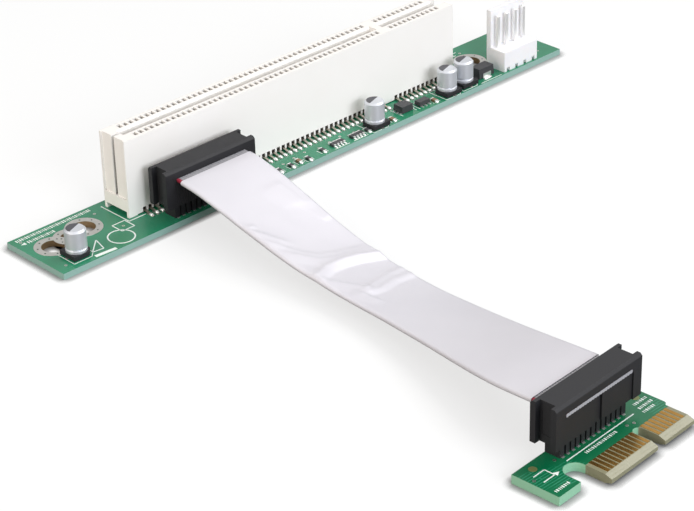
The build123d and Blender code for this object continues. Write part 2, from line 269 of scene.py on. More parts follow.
@dataclass(frozen=True)
class SolderMask(Finish):
    """Green solder mask, screen-coated over copper tracks on glass-fibre laminate.

    The coat is glossy, and tracks beneath show in patches as paler lines that stand a little proud.
    On the sawn edges, and on the bare tongues of the card edge, the woven laminate shows.
    """

    edge_colour: str = "8FB2A8"
    track_colour: str = "2C8A68"
    track_row: float = 0.55
    track_length: float = 6.0
    track_width: float = 0.16
    track_rise: float = 1.5
    patch_size: float = 7.0
    patch_levels: Pair = (0.53, 0.58)
    edge_levels: Pair = (0.2, 0.5)
    bare_from: float | None = None
    bare_right_of: float = 0.0
    bare_blend: float = 0.05
    bare_colour: str = "848268"
    bare_along: Triple = (0.0, 1.0, 0.0)
    bare_across: Triple = (1.0, 0.0, 0.0)

    def pattern(self, tree: NodeTree, place: Node) -> tuple[NodeSocket, NodeSocket]:
        """Colour and height of the coat, the tracks under it and the bare laminate.

        Args:
            tree: The material's node tree.
            place: The texture coordinate node.

        Returns:
            The output socket of the colour and the one of the height.
        """
        base, grain = super().pattern(tree, place)
        lines = self.tracks(tree, place)
        green = add_node(tree, "ShaderNodeMix", {"data_type": "RGBA"}, {
            "Factor": lines, "A": base, "B": linear(self.track_colour)})
        height = add_node(tree, "ShaderNodeMath", {"operation": "MULTIPLY_ADD"}, {
            0: lines, 1: self.track_rise, 2: grain})
        facing = add_node(tree, "ShaderNodeSeparateXYZ", {}, {"Vector": place.outputs["Normal"]})
        upright = add_node(tree, "ShaderNodeMath", {"operation": "ABSOLUTE"}, {0: facing.outputs["Z"]})
        side = add_node(tree, "ShaderNodeMapRange", {}, {
            "Value": upright.outputs["Value"], "From Min": self.edge_levels[0],
            "From Max": self.edge_levels[1], "To Min": 1.0, "To Max": 0.0})
        colour = add_node(tree, "ShaderNodeMix", {"data_type": "RGBA"}, {
            "Factor": side.outputs["Result"], "A": green.outputs["Result"],
            "B": linear(self.edge_colour)})
        if self.bare_from is not None:
            colour = add_node(tree, "ShaderNodeMix", {"data_type": "RGBA"}, {
                "Factor": self.tongues(tree, place), "A": colour.outputs["Result"],
                "B": linear(self.bare_colour)})
        return colour.outputs["Result"], height.outputs["Value"]

    def tracks(self, tree: NodeTree, place: Node) -> NodeSocket:
        """Where tracks show through the coat.

        Args:
            tree: The material's node tree.
            place: The texture coordinate node.

        Returns:
            The output socket that is 1 over a track.
        """
        grid = add_node(tree, "ShaderNodeTexBrick", {
            "offset": 0.37, "squash": 1.6, "squash_frequency": 3}, {
            "Vector": place.outputs["Object"], "Scale": per_size(1.0),
            "Brick Width": self.track_length, "Row Height": self.track_row,
            "Mortar Size": self.track_width / 2, "Mortar Smooth": 0.3,
            "Color1": BLACK, "Color2": BLACK, "Mortar": WHITE})
        patches = add_node(tree, "ShaderNodeTexNoise", {}, {
            "Vector": place.outputs["Object"], "Scale": per_size(self.patch_size), "Detail": 0.0})
        here = add_node(tree, "ShaderNodeMapRange", {}, {
            "Value": patches.outputs["Fac"], "From Min": self.patch_levels[0],
            "From Max": self.patch_levels[1]})
        lines = add_node(tree, "ShaderNodeMath", {"operation": "MULTIPLY"}, {
            0: grid.outputs["Fac"], 1: here.outputs["Result"]})
        return lines.outputs["Value"]

    def tongues(self, tree: NodeTree, place: Node) -> NodeSocket:
        """Where the coat is left off the tongues of the card edge.

        Args:
            tree: The material's node tree.
            place: The texture coordinate node.

        Returns:
            The output socket that is 1 on the bare laminate.
        """
        along = add_node(tree, "ShaderNodeVectorMath", {"operation": "DOT_PRODUCT"}, {
            0: place.outputs["Object"], 1: self.bare_along})
        bare = add_node(tree, "ShaderNodeMapRange", {}, {
            "Value": along.outputs["Value"], "From Min": (self.bare_from - self.bare_blend) * MM,
            "From Max": (self.bare_from + self.bare_blend) * MM, "To Min": 1.0, "To Max": 0.0})
        across = add_node(tree, "ShaderNodeVectorMath", {"operation": "DOT_PRODUCT"}, {
            0: place.outputs["Object"], 1: self.bare_across})
        right = add_node(tree, "ShaderNodeMath", {"operation": "GREATER_THAN"}, {
            0: across.outputs["Value"], 1: self.bare_right_of * MM})
        both = add_node(tree, "ShaderNodeMath", {"operation": "MULTIPLY"}, {
            0: bare.outputs["Result"], 1: right.outputs["Value"]})
        return both.outputs["Value"]


@dataclass(frozen=True)
class Streaked(Finish):
    """A drawn, rolled or extruded surface, whose die marks run along one axis."""

    stretch: Triple = (1.0, 1.0, 0.05)

    def pattern(self, tree: NodeTree, place: Node) -> tuple[NodeSocket, NodeSocket]:
        """Colour and height of the surface, with streaks.

        Args:
            tree: The material's node tree.
            place: The texture coordinate node.

        Returns:
            The output socket of the colour and the one of the height.
        """
        colour, _ = super().pattern(tree, place)
        long = add_node(tree, "ShaderNodeVectorMath", {"operation": "MULTIPLY"}, {
            0: place.outputs["Object"], 1: self.stretch})
        streaks = add_node(tree, "ShaderNodeTexNoise", {}, {
            "Vector": long.outputs["Vector"], "Scale": per_size(self.grain_size), "Detail": 3.0})
        return colour, streaks.outputs["Fac"]


@dataclass(frozen=True)
class Ribbed(Finish):
    """A moulded part with fine upright ribs on the face that looks one way."""

    rib_pitch: float = 0.635
    rib_depth: float = 0.12
    across: Triple = (1.0, 0.0, 0.0)
    facing: Triple = (0.0, -1.0, 0.0)
    facing_least: float = 0.9
    middle: float = 0.0
    panel_half: float = 8.4

    def pattern(self, tree: NodeTree, place: Node) -> tuple[NodeSocket, NodeSocket]:
        """Colour and height of the moulding, with its ribbed panel.

        Args:
            tree: The material's node tree.
            place: The texture coordinate node.

        Returns:
            The output socket of the colour and the one of the height.
        """
        colour, grain = super().pattern(tree, place)
        along = add_node(tree, "ShaderNodeVectorMath", {"operation": "DOT_PRODUCT"}, {
            0: place.outputs["Object"], 1: self.across})
        turns = add_node(tree, "ShaderNodeMath", {"operation": "MULTIPLY"}, {
            0: along.outputs["Value"], 1: 2 * math.pi * per_size(self.rib_pitch)})
        wave = add_node(tree, "ShaderNodeMath", {"operation": "SINE"}, {0: turns.outputs["Value"]})
        towards = add_node(tree, "ShaderNodeVectorMath", {"operation": "DOT_PRODUCT"}, {
            0: place.outputs["Normal"], 1: self.facing})
        only = add_node(tree, "ShaderNodeMath", {"operation": "GREATER_THAN"}, {
            0: towards.outputs["Value"], 1: self.facing_least})
        inside = add_node(tree, "ShaderNodeMath", {"operation": "COMPARE"}, {
            0: along.outputs["Value"], 1: self.middle * MM, 2: self.panel_half * MM})
        panel = add_node(tree, "ShaderNodeMath", {"operation": "MULTIPLY"}, {
            0: only.outputs["Value"], 1: inside.outputs["Value"]})
        ribs = add_node(tree, "ShaderNodeMath", {"operation": "MULTIPLY"}, {
            0: wave.outputs["Value"], 1: panel.outputs["Value"]})
        height = add_node(tree, "ShaderNodeMath", {"operation": "MULTIPLY_ADD"}, {
            0: ribs.outputs["Value"], 1: self.rib_depth / self.grain_depth / 2, 2: grain})
        return colour, height.outputs["Value"]


# Moulded ivory PBT: satin, with edges softened by the mould and painted warm brown shade in its chambers
IVORY = Finish("ivory_moulded_pbt", "F4F2EF", "EFEBE6", roughness=0.42, ior=1.55, grain_size=0.25,
               blotch_size=12.0, roughness_spread=0.05, soft_edge=0.12, painted_shade_colour="3F3022",
               painted_shade_reach=1.2)
# Moulded white nylon: a cooler, glossier white than the slot, and a little translucent
WHITE_NYLON = Finish("white_moulded_nylon", "F3F2F3", "ECEBEE", roughness=0.36, ior=1.53,
                     grain_size=0.3, blotch_size=8.0, roughness_spread=0.05, soft_edge=0.15, glow=0.15)
# Moulded black glass-filled PBT: satin with a faint bloom
BLACK_PBT = Finish("black_moulded_pbt", "0F0F13", "16161B", roughness=0.62, grain_size=0.18,
                   grain_depth=0.006, blotch_size=5.0, roughness_spread=0.08, soft_edge=0.10)
# Tin plating: bright but softly cloudy
TIN = Finish("tin_plated_bronze", "D9D7D2", "BDBBB5", metallic=1.0, roughness=0.30, grain_size=0.5,
             grain_depth=0.006, blotch_size=1.5, roughness_spread=0.10)
# Fresh bright tin on drawn square pins: pale, with faint marks along them
BRIGHT_TIN = Streaked("bright_tinned_pin", "F8F8F7", "ECEBE9", metallic=0.7, roughness=0.42,
                      grain_size=0.12, grain_depth=0.0006, roughness_spread=0.04)
# Tin plating on springs that stand in the slot's dark chambers: dull; its darker, browner colour and
# darkened cavities are painted shade
SPRING_TIN = replace(TIN, name="tin_plated_spring", colour="ADA79C", shade="928C81", roughness=0.32,
                     painted_shade_colour="1A1510", painted_shade_reach=0.6)
# Reflowed solder: bright, smooth and wetted
SOLDER = Finish("reflowed_solder", "F4F4F3", "E2E2E1", metallic=0.9, roughness=0.34, grain_size=0.5,
                grain_depth=0.012, blotch_size=0.8, roughness_spread=0.08)
# Hard gold over nickel: darker than pure gold, with plating haze
GOLD = Streaked("hard_gold_plating", "C79A52", "A47C3C", metallic=1.0, roughness=0.26,
                grain_size=0.15, stretch=(1.0, 0.05, 1.0))
# Drawn aluminium can: satin with upright die marks
CAN = Streaked("drawn_aluminium_can", "DADDE3", "CACDD3", metallic=0.6, roughness=0.38,
               grain_size=0.12, blotch_size=2.5)
# Printed black marking on the can's top: matt, and grey where it lies thin
CAN_INK = Finish("black_marking_ink", "434347", "4F4F55", ior=1.45, grain_size=0.1, grain_depth=0.003,
                 blotch_size=1.0, roughness_spread=0.05)
# Extruded grey PVC insulation: satin, with faint lines along the cable
PVC = Streaked("grey_extruded_pvc", "A3A3A8", "94949A", roughness=0.45, ior=1.53, grain_depth=0.005,
               blotch_size=3.0, stretch=(1.0, 0.05, 1.0))
# The same insulation, dyed red on the first conductor
PVC_RED = Finish("red_extruded_pvc", "8E1F36", "9C2B40", roughness=0.45, ior=1.53, grain_depth=0.005,
                 blotch_size=3.0)
# Aluminium foil laminated to film: satin, pale, softly creased
FOIL = Finish("laminated_aluminium_foil", "E0DEE4", "D5D3DA", metallic=0.30, roughness=0.36,
              grain_size=1.6, grain_depth=0.012, blotch_size=14.0)
# Moulded epoxy compound: near black and dull, with a fine silica speckle
EPOXY = Finish("moulded_epoxy", "2B2B2E", "3A3A3D", roughness=0.55, ior=1.55, grain_size=0.08,
               grain_depth=0.006, blotch_size=0.6, roughness_spread=0.08)
# Fired barium titanate ceramic: brown and matt
CERAMIC = Finish("fired_brown_ceramic", "8B6C4F", "7A5C42", ior=1.6, grain_size=0.1, grain_depth=0.003,
                 blotch_size=0.6)
# White epoxy legend ink, screen-printed: matt, and slightly green where the mask shows through
INK = Finish("white_legend_ink", "E8EEEA", "DCE4DF", roughness=0.6, grain_size=0.12, grain_depth=0.006,
             blotch_size=1.2)
# Copper plating seen through flux in a drilled hole: dull and brown
PLATED_WALL = Finish("fluxed_copper_barrel", "A58B6C", "86704F", metallic=0.6, grain_depth=0.006,
                     blotch_size=0.8, roughness_spread=0.08)
# Window in the mask over copper, tarnished olive
FIDUCIAL = Finish("tarnished_mask_opening", "5E6A3C", "6E7547", metallic=0.1, roughness=0.45,
                  blotch_size=0.8)
# Painted shade of a small plated hole: a matt dark green disc on the land
VIA_HOLE_SHADE = Finish("painted_via_hole_shade", "3A4A40", "2C3A31", roughness=0.6, grain_size=0.1,
                    grain_depth=0.003, blotch_size=0.6, roughness_spread=0.05)


@dataclass
class Shell:
    """Corners and faces of one piece, in millimetres, until it is built."""

    name: str
    place: Matrix = field(default_factory=lambda: Matrix.Identity(4))
    corners: list[Vector] = field(default_factory=list)
    faces: list[tuple[int, ...]] = field(default_factory=list)
    finish_of: list[int] = field(default_factory=list)

    def add(self, corners: list[Vector] | list[Triple], faces: list[tuple[int, ...]],
            finish: int = 0) -> None:
        """Adds corners and the faces between them.

        Args:
            corners: Points in the shell's own place.
            faces: Corner numbers of each face, counted from the first corner given.
            finish: Number of the finish among those given to build.
        """
        first = len(self.corners)
        self.corners += [self.place @ Vector(corner) for corner in corners]
        self.faces += [tuple(first + number for number in face) for face in faces]
        self.finish_of += [finish] * len(faces)

    def prism(self, outline: list[Point], low: float, high: float, finish: int = 0) -> None:
        """Adds an upright prism.

        Args:
            outline: Its flat outline, listed anticlockwise.
            low: Height of its underside.
            high: Height of its top.
            finish: Number of its finish.
        """
        count = len(outline)
        corners = [(x, y, low) for x, y in outline] + [(x, y, high) for x, y in outline]
        walls = [(n, (n + 1) % count, count + (n + 1) % count, count + n) for n in range(count)]
        caps = [tuple(reversed(range(count))), tuple(range(count, 2 * count))]
        self.add(corners, walls + caps, finish)

    def bar(self, start: Point, end: Point, width: float, low: float, high: float) -> None:
        """Adds a flat straight bar.

        Args:
            start: Middle of one end.
            end: Middle of the other end.
            width: Its width.
            low: Height of its underside.
            high: Height of its top.
        """
        a, b = Vector(start), Vector(end)
        side = (b - a).normalized().orthogonal() * width / 2
        outline = [a - side, b - side, b + side, a + side]
        self.prism([(p.x, p.y) for p in outline], low, high)

    def loop(self, outline: tuple[Point, ...], width: float, high: float) -> None:
        """Adds a closed line of flat bars.

        Args:
            outline: Corners of the line.
            width: Width of the line.
            high: Height of its top.
        """
        for n, corner in enumerate(outline):
            self.bar(corner, outline[(n + 1) % len(outline)], width, 0, high)

    def ring(self, centre: Point, radii: Pair, low: float, high: float, finish: int = 0,
             count: int = 48) -> None:
        """Adds a flat ring with a square section.

        Args:
            centre: Its centre.
            radii: Its inner and outer radius.
            low: Height of its underside.
            high: Height of its top.
            finish: Number of its finish.
            count: Steps round it.
        """
        inner, outer = radii
        corners = []
        for n in range(count):
            angle = 2 * math.pi * n / count
            for radius, level in ((inner, low), (outer, low), (outer, high), (inner, high)):
                corners.append((centre[0] + radius * math.cos(angle),
                                centre[1] + radius * math.sin(angle), level))
        faces = []
        for n in range(count):
            here, there = 4 * n, 4 * ((n + 1) % count)
            faces += [(there + k, there + (k + 1) % 4, here + (k + 1) % 4, here + k) for k in range(4)]
        self.add(corners, faces, finish)

    def disc(self, centre: Point, radius: float, low: float, high: float, finish: int = 0,
             count: int = 24) -> None:
        """Adds a flat round disc.

        Args:
            centre: Its centre.
            radius: Its radius.
            low: Height of its underside.
            high: Height of its top.
            finish: Number of its finish.
            count: Steps round it.
        """
        angles = [2 * math.pi * n / count for n in range(count)]
        outline = [(centre[0] + radius * math.cos(a), centre[1] + radius * math.sin(a)) for a in angles]
        self.prism(outline, low, high, finish)

    def dome(self, centre: Triple, radii: Pair, height: float, count: int = 12,
             bands: int = 4) -> None:
        """Adds a rounded mound of solder.

        Args:
            centre: Middle of its flat base.
            radii: Half its width and half its depth.
            height: How high it stands.
            count: Steps round it.
            bands: Steps from its base to its top.
        """
        corners = []
        for band in range(bands):
            lift = math.pi / 2 * band / bands
            for n in range(count):
                angle = 2 * math.pi * n / count
                corners.append((centre[0] + radii[0] * math.cos(lift) * math.cos(angle),
                                centre[1] + radii[1] * math.cos(lift) * math.sin(angle),
                                centre[2] + height * math.sin(lift)))
        corners.append((centre[0], centre[1], centre[2] + height))
        faces = [tuple(reversed(range(count)))] + band_faces(bands, count)
        last = (bands - 1) * count
        faces += [(last + n, last + (n + 1) % count, len(corners) - 1) for n in range(count)]
        self.add(corners, faces)

    def build(self, finishes: list[Material], slot: str,
              smooth: bool = False) -> bpy.types.Object:
        """Makes the piece and lets it ride on the part.

        Args:
            finishes: Materials, in the order that the faces number them.
            slot: Not used.
            smooth: Whether the faces are shaded as one curved surface.

        Returns:
            The new object.
        """
        mesh = bpy.data.meshes.new(self.name)
        mesh.from_pydata([corner * MM for corner in self.corners], [], self.faces)
        for finish in finishes:
            mesh.materials.append(finish)
        mesh.polygons.foreach_set("material_index", self.finish_of)
        mesh.polygons.foreach_set("use_smooth", [smooth] * len(mesh.polygons))
        mesh.validate()
        mesh.update()
        piece = new_object(self.name, mesh)
        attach(piece, "root")
        LOG.info("%s: %d faces", self.name, len(mesh.polygons))
        return piece


@functools.lru_cache(maxsize=None)
def box_of(node: str) -> tuple[Vector, Vector]:
    """Lowest and highest corner of a node, in millimetres."""
    low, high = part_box(node)
    return (low / MM).freeze(), (high / MM).freeze()


def centre_of(node: str) -> Vector:
    """Middle of a node's box, in millimetres."""
    low, high = box_of(node)
    return (low + high) / 2


def dress(node: str, material: Material, smooth_angle: float = 0.0) -> None:
    """Gives a node of the frame its finish.

    Args:
        node: The node's name.
        material: Its finish.
        smooth_angle: Edges flatter than this many degrees are shaded smooth.
    """
    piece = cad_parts[node]
    piece.data.materials.clear()
    piece.data.materials.append(material)
    if smooth_angle:
        piece.data.shade_smooth()
        piece.data.set_sharp_from_angle(angle=math.radians(smooth_angle))
    LOG.info("%s: dressed in %s", node, material.name)


@dataclass
class Places:
    """Frames of the two boards and of the cable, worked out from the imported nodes.

    The small board is turned by edge_turn, and connector_on_edge is the middle of its connector in
    that board's own frame.
    """

    edge_turn: float = 3.6
    connector_on_edge: Point = (7.12, 10.4)
    socket_half_width: float = 2.5

    def long_board(self) -> Matrix:
        """Place of the long board's front left corner, at its top face."""
        low, high = box_of("pci_board")
        return Matrix.Translation((low.x, low.y, high.z))

    def edge_board(self) -> Matrix:
        """Place of the small board's origin at its top face, turned with the board.

        Returns:
            The frame in which the small board's fingers and marks are measured.
        """
        level = box_of("edge_board")[1].z
        middle = centre_of("header_b_base")
        turn = Matrix.Rotation(math.radians(self.edge_turn), 4, "Z")
        shift = Matrix.Translation((-self.connector_on_edge[0], -self.connector_on_edge[1], 0))
        return Matrix.Translation((middle.x, middle.y, level)) @ turn @ shift

    def cable_ends(self) -> tuple[Vector, Vector]:
        """Middle of the cable where it leaves each socket.

        Returns:
            The end at the long board and the end at the card edge.
        """
        levels = [box_of(f"socket_{letter}_body")[1].z - Cable.thickness / 2 for letter in "ab"]
        near = centre_of("header_a_base")
        far = centre_of("header_b_base")
        turn = Matrix.Rotation(math.radians(self.edge_turn), 3, "Z")
        back = turn @ Vector((0, self.socket_half_width, 0))
        start = Vector((near.x, near.y - self.socket_half_width, levels[0]))
        finish = Vector((far.x + back.x, far.y + back.y, levels[1]))
        return start, finish


@dataclass(frozen=True)
class Crease:
    """One fold in the foil: it rises up to a line and falls away beyond it.

    The line's points are shares of the span and millimetres across. Beyond it is towards the card
    edge for a line that runs from left to right, and to the left for one that runs along. Rise and
    fall are the widths of its two flanks, and fade is how far it runs on past the line's ends, all in
    millimetres. The higher the curl, the rounder the far flank.
    """

    line: tuple[Point, ...]
    height: float
    rise: float
    fall: float
    fade: float = 1.5
    curl: float = 1.3

    def lift(self, along: float, across: float, span: float) -> float:
        """Height of this crease at a point of the foil.

        Args:
            along: Share of the free span.
            across: Millimetres from the middle.
            span: Length of the free span in millimetres.

        Returns:
            How far the foil stands out there, in millimetres.
        """
        here = Vector((along * span, across))
        points = [Vector((share * span, place)) for share, place in self.line]
        nearest, offset, beyond = math.inf, 0.0, 0.0
        for n in range(len(points) - 1):
            run = points[n + 1] - points[n]
            way = run.normalized()
            reach = (here - points[n]).dot(way)
            away = (here - points[n] - way * min(max(reach, 0.0), run.length)).length
            if away < nearest:
                nearest = away
                offset = (here - points[n]).dot(Vector((way.y, -way.x)))
                beyond = max(0.0, -reach, reach - run.length)
        if offset < 0:
            fold = math.exp(offset / self.rise)
        else:
            fold = 1 - min(offset / self.fall, 1.0) ** self.curl
        return self.height * fold * math.exp(-(beyond / self.fade) ** 2)


@dataclass
class Cable:
    """Ribbed flat cable and the foil folded round it, between the two sockets.

    The foil's ends, the hem and the places of its creases are shares of the free span. Each crease
    gives its line, then its height, rise and fall, and fade and curl where they aren't the usual.
    """

    thickness: ClassVar[float] = 0.65
    places: Places
    pitch: float = 0.635
    conductors: int = 26
    web_share: float = 0.55
    sag: float = 7.2
    sag_power: float = 1.5
    bow: float = 3.4
    lean: float = -1.6
    twist: float = 9.5
    socket_depth: float = 5.0
    rib_steps: int = 6
    ribbon_rings: int = 60
    ribbon_sharp_angle: float = 50.0
    foil_start: float = 0.014
    foil_end: float = 0.982
    foil_width: float = 17.0
    foil_lift: float = 0.45
    foil_skin: float = 0.06
    foil_rings: int = 280
    foil_columns: int = 46
    fold_steps: int = 4
    fold_crumple: float = 0.3
    foil_sharp_angle: float = 60.0
    deepest_dent: float = 0.05
    hem_share: float = 0.02
    hem_least: float = 0.15
    edge_wander: float = 0.12
    edge_waves: float = 9.0
    edge_power: int = 4
    swell: float = 0.16
    swell_size: Pair = (16.0, 11.0)
    ripple: float = 0.02
    ripple_size: Pair = (4.2, 3.1)
    facet: float = 0.06
    facet_size: float = 7.5
    facet_slant: float = 14.0
    creases: tuple[Crease, ...] = (
        Crease(((0.381, -7.2), (0.370, -4.2), (0.367, 0.0), (0.370, 3.5), (0.382, 8.4)),
               0.44, 0.8, 2.4, 1.6, 1.8),
        Crease(((0.479, -3.3), (0.478, -0.7), (0.467, 3.4), (0.466, 8.0)), 0.33, 2.8, 1.6),
        Crease(((0.465, -2.8), (0.456, 0.2), (0.445, 4.3), (0.442, 7.6)), 0.16, 0.4, 1.2),
        Crease(((0.263, -7.1), (0.308, -4.5), (0.333, -2.0), (0.343, 2.0), (0.351, 7.8)),
               0.15, 0.45, 4.0, 3.0),
        Crease(((0.318, -5.4), (0.346, -3.1), (0.354, -0.2), (0.360, 6.6)), 0.13, 0.40, 3.0, 3.0),
        Crease(((0.211, -7.9), (0.229, -6.8), (0.260, -5.1)), 0.24, 0.40, 3.0),
        Crease(((0.196, -8.4), (0.202, -6.8)), 0.15, 0.8, 0.9, 0.5),
        Crease(((0.403, -7.3), (0.433, -5.2), (0.463, -3.1)), 0.20, 0.40, 3.0),
        Crease(((0.478, -5.3), (0.505, -4.6)), 0.24, 0.40, 2.5),
        Crease(((0.130, 5.9), (0.156, 6.2), (0.183, 6.3)), 0.12, 0.7, 5.0, 1.0),
        Crease(((0.192, 5.5), (0.196, 8.4)), 0.05, 0.4, 2.2, 0.8),
        Crease(((0.250, 6.6), (0.244, 8.4)), 0.09, 2.0, 0.9, 0.5),
    )
    ends: tuple[Vector, Vector] = field(init=False)

    def __post_init__(self) -> None:
        """Works out both ends of the cable once."""
        self.ends = self.places.cable_ends()

    def frame_at(self, share: float) -> Matrix:
        """Place on the cable's middle line: across, back along the cable, and up.

        Args:
            share: Share of the free span, from the long board's socket.

        Returns:
            The local frame, in millimetres.
        """
        start, finish = self.ends
        blend = share * share * (3 - 2 * share)
        swing = math.sin(math.pi * share)
        bow = self.bow * swing * swing + self.lean * swing * math.sin(2 * math.pi * share)
        middle = Vector((start.x + (finish.x - start.x) * blend + bow,
                         start.y + (finish.y - start.y) * share,
                         start.z + (finish.z - start.z) * share - self.sag * swing ** self.sag_power))
        heading = Matrix.Rotation(math.radians(self.places.edge_turn) * share, 4, "Z")
        roll = Matrix.Rotation(math.radians(self.twist) * swing * swing, 4, "Y")
        return Matrix.Translation(middle) @ heading @ roll

    def span(self) -> float:
        """Straight distance between the sockets' faces."""
        start, finish = self.ends
        return (finish - start).length

    def ribbon_outline(self) -> list[Point]:
        """Section of the ribbed insulation.

        Returns:
            Points across and up, anticlockwise from its left edge.
        """
        half = self.thickness / 2
        width = self.pitch * self.conductors
        count = self.conductors * self.rib_steps
        top = []
        for n in range(count + 1):
            across = -width / 2 + width * n / count
            rib = abs(math.sin(math.pi * (across + width / 2) / self.pitch))
            top.append((across, half * (self.web_share + (1 - self.web_share) * math.sqrt(rib))))
        return [(x, -z) for x, z in top] + [(x, z) for x, z in reversed(top)]

    def build_ribbon(self) -> None:
        """Makes the cable from inside one socket to inside the other, its first conductor marked."""
        outline = self.ribbon_outline()
        around = len(outline)
        free = [(n / self.ribbon_rings, 0.0) for n in range(self.ribbon_rings + 1)]
        rings = [(0.0, self.socket_depth)] + free + [(1.0, -self.socket_depth)]
        corners = []
        for share, push in rings:
            local = self.frame_at(share)
            corners += [local @ Vector((x, push, z)) for x, z in outline]
        end = (len(rings) - 1) * around
        caps = [tuple(reversed(range(around))), tuple(range(end, end + around))]
        marked = [int(n < self.rib_steps or n >= around - self.rib_steps - 1) for n in range(around)]
        shell = Shell("ribbon_cable_ribbed")
        shell.add(corners, band_faces(len(rings), around) + caps)
        shell.finish_of = marked * (len(rings) - 1) + [0] * len(caps)
        piece = shell.build([PVC.build(), PVC_RED.build()], "cable_sheath", smooth=True)
        piece.data.set_sharp_from_angle(angle=math.radians(self.ribbon_sharp_angle))
        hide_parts("ribbon_cable")

    def foil_outline(self) -> list[Triple]:
        """Section of the folded foil.

        Returns:
            Points across and up, each with how much it may crumple.
        """
        half = self.foil_width / 2 - self.foil_lift
        count = self.foil_columns
        top = [(-half + 2 * half * n / count, self.foil_lift, 1.0) for n in range(count + 1)]
        right = []
        for n in range(1, self.fold_steps):
            angle = math.pi / 2 - math.pi * n / self.fold_steps
            right.append((half + self.foil_lift * math.cos(angle), self.foil_lift * math.sin(angle),
                          self.fold_crumple))
        under = [(x, -z, 0.0) for x, z, _ in reversed(top)]
        left = [(-x, -z, crumple) for x, z, crumple in right]
        return top + right + under + left

    def crumple(self, share: float, across: float) -> float:
        """How far the foil stands off its flat shape at a point.

        Args:
            share: Share of the free span.
            across: Millimetres from the middle.

        Returns:
            The height in millimetres, negative for a dent.
        """
        span = self.span()
        along = share * span
        lift = sum(crease.lift(share, across, span) for crease in self.creases)
        slow = noise.noise(Vector((along / self.swell_size[0], across / self.swell_size[1], 3.1)))
        fine = noise.noise(Vector((along / self.ripple_size[0], across / self.ripple_size[1], 8.7)))
        slant = along / self.facet_size + across / self.facet_slant
        facets = abs(noise.noise(Vector((slant, across / self.facet_size, 5.3))))
        return lift + self.swell * slow + self.ripple * fine + self.facet * facets

    def foil_corners(self) -> tuple[list[Vector], list[Vector]]:
        """Corners of the creased foil, ring by ring.

        Returns:
            The corners of its outer face and those of its inner face.
        """
        span = self.foil_end - self.foil_start
        slim = 1 - 2 * self.foil_skin / self.foil_width
        flat = 1 - self.foil_skin / self.foil_lift
        outline = self.foil_outline()
        outer, inner = [], []
        for n in range(self.foil_rings):
            share = self.foil_start + span * n / (self.foil_rings - 1)
            local = self.frame_at(share)
            hem = min(1.0, (share - self.foil_start) / self.hem_share,
                      (self.foil_end - share) / self.hem_share)
            wander = self.edge_wander * noise.noise(Vector((share * self.edge_waves, 1.7, 0.4)))
            for x, z, weight in outline:
                rise = 0.0
                if weight:
                    stand = self.crumple(share, x) * max(hem, self.hem_least)
                    rise = max(stand, -self.deepest_dent) * weight
                edge = math.copysign(wander, x) * (abs(x) / (self.foil_width / 2)) ** self.edge_power
                outer.append(local @ Vector((x + edge, 0, z + rise)))
                inner.append(local @ Vector((x * slim, 0, z * flat + rise)))
        return outer, inner

    def build_foil(self) -> None:
        """Makes the creased foil tube with its thin skin."""
        outer, inner = self.foil_corners()
        shift = len(outer)
        around = shift // self.foil_rings
        faces = band_faces(self.foil_rings, around)
        faces += [(shift + a, shift + d, shift + c, shift + b) for a, b, c, d in faces]
        last = shift - around
        for n in range(around):
            m = (n + 1) % around
            faces.append((n, shift + n, shift + m, m))
            faces.append((last + n, last + m, shift + last + m, shift + last + n))
        shell = Shell("foil_wrap_creased")
        shell.add(outer + inner, faces)
        piece = shell.build([FOIL.build()], "foil", smooth=True)
        piece.data.set_sharp_from_angle(angle=math.radians(self.foil_sharp_angle))
        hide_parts("foil_wrap")


def print_dashes(shell: Shell, left: float, right: float, back: float, height: float,
                 rise: float) -> None:
    """Prints a row of plain dashes of uneven width.

    Args:
        shell: The piece that collects the print.
        left: Where the row starts.
        right: Where it ends.
        back: Distance of its middle from the board's front.
        height: Length of each dash.
        rise: Thickness of the ink.
    """
    at = left
    while at < right:
        long = DASH_SHORTEST + DASH_SPREAD * math.sin(DASH_WAVE * at + back) ** 2
        shell.bar((at, back), (at + long, back), height, 0, rise)
        at += long + DASH_GAP


@dataclass
class SlotLook:
    """The tall card slot: its finish, and the pads and solder of its leads."""

    places: Places
    pitch: float = 1.27
    positions: int = 62
    missing: tuple[int, int] = (50, 51)
    pad_width: float = 0.78
    pad_length: float = 1.7
    pad_rise: float = 0.04
    pad_margin: float = 0.12
    blob_width: float = 0.40
    blob_length: float = 0.62
    blob_height: float = 0.42
    blob_overhang: float = 0.1
    blob_unevenness: float = 0.12

    def stations(self) -> list[float]:
        """Distance of each lead from the slot's middle."""
        numbers = [n for n in range(1, self.positions + 1) if n not in self.missing]
        return [self.pitch * (n - 1 - (self.positions - 1) / 2) for n in numbers]

    def build(self, tin: Material, solder: Material) -> None:
        """Dresses the slot and adds pads and solder.

        Args:
            tin: Finish of the pads.
            solder: Finish of the solder.
        """
        dress("slot_housing", IVORY.build())
        spring = SPRING_TIN.build()
        middle = centre_of("slot_housing")
        level = self.places.long_board().translation.z
        pad_top = level + self.pad_rise
        pads = Shell("slot_pads")
        blobs = Shell("slot_solder")
        for node, side in (("slot_contacts_front", -1), ("slot_contacts_rear", 1)):
            dress(node, spring)
            low, high = box_of(node)
            toe = low.y if side < 0 else high.y
            edge = toe + side * self.pad_margin
            for number, station in enumerate(self.stations()):
                x = middle.x + station
                pads.bar((x, edge), (x, edge - side * self.pad_length), self.pad_width, level, pad_top)
                uneven = self.blob_unevenness * math.sin(number * GOLDEN_ANGLE + side)
                blobs.dome((x, toe - side * (self.blob_length - self.blob_overhang), pad_top),
                           (self.blob_width, self.blob_length), self.blob_height * (1 + uneven))
        pads.build([tin], "tinned")
        blobs.build([solder], "tinned", smooth=True)


